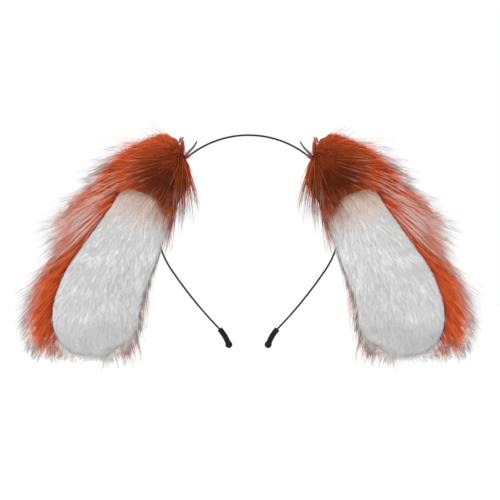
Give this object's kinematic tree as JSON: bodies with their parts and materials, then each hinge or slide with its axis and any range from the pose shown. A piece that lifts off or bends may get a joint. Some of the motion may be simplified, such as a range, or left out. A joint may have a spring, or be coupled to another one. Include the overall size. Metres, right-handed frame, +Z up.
{
  "type": "animal ears headband",
  "caption": "Open sprung metal headband with rubber tips and a pair of long lop animal ears in faux fur, clipped on.",
  "frame": {"origin": "underside of the band's crown, on its middle plane, where it rests on top of the head", "axes": "+X to the viewer's right across the head, +Y from the ears' white faces to the back, +Z up"},
  "size_m": [0.2768, 0.035, 0.1475],
  "materials": {
    "band_steel": "thin satin black coating",
    "tip_rubber": "smooth moulded",
    "faux_fur": "long rust pile with pale and dark tips",
    "white_plush": "short dense white pile",
    "fibre_filling": "loose fibre",
    "shaping_wire": "galvanised",
    "rust_felt": "pressed felt",
    "clip_steel": "black coated sheet",
    "spring_steel": "bright drawn wire"
  },
  "bodies": {
    "band": {"headband": "band_steel", "left_end_tip": "tip_rubber", "right_end_tip": "tip_rubber"},
    "left_ear": {"left_ear_fur": "faux_fur", "left_ear_plush": "white_plush", "left_ear_filling": "fibre_filling", "left_ear_wire": "shaping_wire", "left_ear_base_felt": "rust_felt", "left_handle_felt": "rust_felt", "left_clip_outer_arm": "clip_steel", "left_clip_pin": "clip_steel", "left_clip_spring": "spring_steel"},
    "left_clip_jaw": {"left_clip_inner_arm": "clip_steel"},
    "right_ear": {"right_ear_fur": "faux_fur", "right_ear_plush": "white_plush", "right_ear_filling": "fibre_filling", "right_ear_wire": "shaping_wire", "right_ear_base_felt": "rust_felt", "right_handle_felt": "rust_felt", "right_clip_outer_arm": "clip_steel", "right_clip_pin": "clip_steel", "right_clip_spring": "spring_steel"},
    "right_clip_jaw": {"right_clip_inner_arm": "clip_steel"}
  },
  "joints": [
    {"name": "left_ear_slide", "type": "hinge", "parent": "band", "child": "left_ear", "pos_m": [-0.00472, 0, -0.0569], "axis": [0, 1, 0], "range_deg": [-12, 18]},
    {"name": "right_ear_slide", "type": "hinge", "parent": "band", "child": "right_ear", "pos_m": [0.00472, 0, -0.0569], "axis": [0, -1, 0], "range_deg": [-12, 18]},
    {"name": "left_clip_squeeze", "type": "hinge", "parent": "left_ear", "child": "left_clip_jaw", "pos_m": [-0.04496, 0.00742, -0.01406], "axis": [0.1451, -0.9511, 0.2728], "range_deg": [0, 25], "stiffness_Nm_per_rad": 0.1, "springref_deg": -28.65, "deforming": ["left_clip_spring"]},
    {"name": "right_clip_squeeze", "type": "hinge", "parent": "right_ear", "child": "right_clip_jaw", "pos_m": [0.04496, 0.00742, -0.01406], "axis": [0.1451, 0.9511, -0.2728], "range_deg": [0, 25], "stiffness_Nm_per_rad": 0.1, "springref_deg": -28.65, "deforming": ["right_clip_spring"]}
  ]
}
